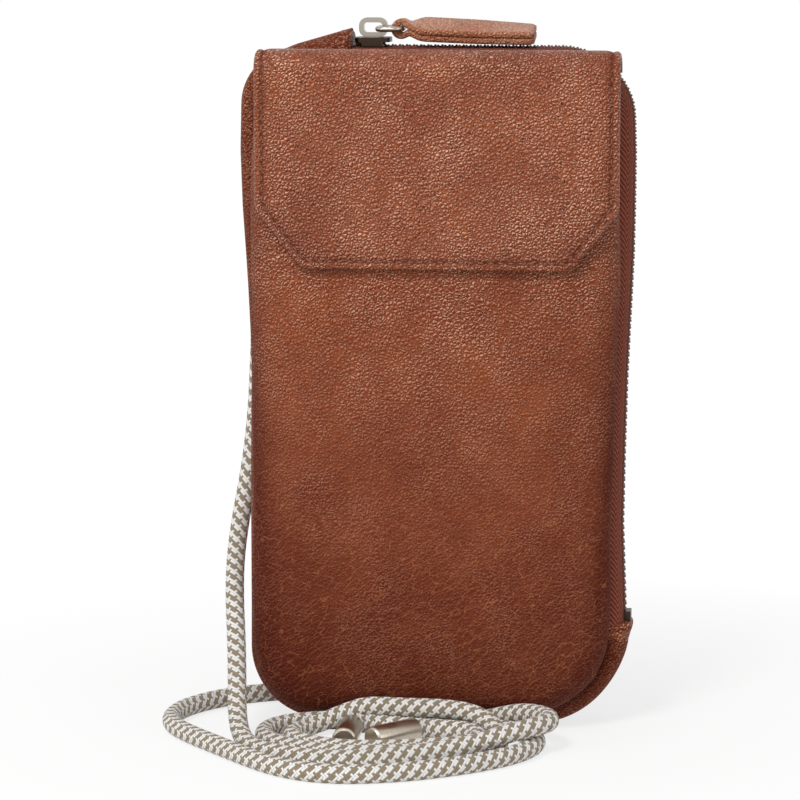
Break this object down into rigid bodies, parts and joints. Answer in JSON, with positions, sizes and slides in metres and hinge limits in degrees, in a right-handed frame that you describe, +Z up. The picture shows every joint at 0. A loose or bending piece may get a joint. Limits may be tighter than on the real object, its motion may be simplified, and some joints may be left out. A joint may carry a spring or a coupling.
{
  "type": "phone pouch",
  "caption": "Slim padded leather pouch for a phone: flap pocket with a magnet, zipped main compartment, and a braided carrying cord run through loops on the back.",
  "frame": {"origin": "on the floor under the middle of the pouch, below the zip line", "axes": "+Z up, -Y towards the flap side, +X to the right as seen from the flap side"},
  "size_m": [0.1253, 0.1033, 0.1903],
  "materials": {
    "leather": "pebbled, satin",
    "lining": "plain weave",
    "foam": "open cell foam",
    "board": "sheet",
    "magnet": "plain",
    "tape": "woven tape",
    "coil": "moulded coil",
    "nickel": "polished nickel",
    "cap": "brushed nickel",
    "cord": "braided"
  },
  "bodies": {
    "pouch": {"side_gusset": "leather", "gusset_lining": "lining", "zip_tape_front": "tape", "zip_tape_back": "tape", "zip_coil_front": "coil", "zip_coil_back": "coil", "zip_start_tab": "leather", "zip_end_tab": "leather", "zip_stop": "nickel", "front_panel": "leather", "pocket_padding": "foam", "pocket_lining": "lining", "pocket_magnet": "magnet", "divider_panel": "lining", "back_panel": "leather", "back_padding": "foam", "back_lining": "lining", "cord_loop_left": "leather", "cord_loop_right": "leather", "cord_bridge": "cord", "cord_left": "cord", "cord_right": "cord", "cord_coil": "cord", "cord_tail_left": "cord", "cord_tail_right": "cord", "cord_cap_left": "cap", "cord_cap_right": "cap"},
    "flap": {"flap_outer": "leather", "flap_board": "board", "flap_lining": "lining", "flap_magnet": "magnet", "flap_fold": "leather"},
    "slider": {"slider_body": "nickel", "slider_bridge": "nickel"},
    "pull_ring": {"pull_ring": "nickel"},
    "puller": {"puller_tab": "leather"}
  },
  "joints": [
    {"name": "flap_hinge", "type": "hinge", "parent": "pouch", "child": "flap", "pos_m": [0, -0.015, 0.1767], "axis": [-1, 0, 0], "range_deg": [0, 165], "deforming": ["flap_fold"]},
    {"name": "zip_slide", "type": "slide", "parent": "pouch", "child": "slider", "axis": [1, 0, 0], "range_m": [0, 0.045]},
    {"name": "ring_hinge", "type": "hinge", "parent": "slider", "child": "pull_ring", "pos_m": [-0.01585, 0, 0.1874], "axis": [0, -1, 0], "range_deg": [0, 95]},
    {"name": "puller_hinge", "type": "hinge", "parent": "pull_ring", "child": "puller", "pos_m": [-0.00965, 0, 0.1874], "axis": [0, -1, 0], "range_deg": [0, 80]}
  ]
}
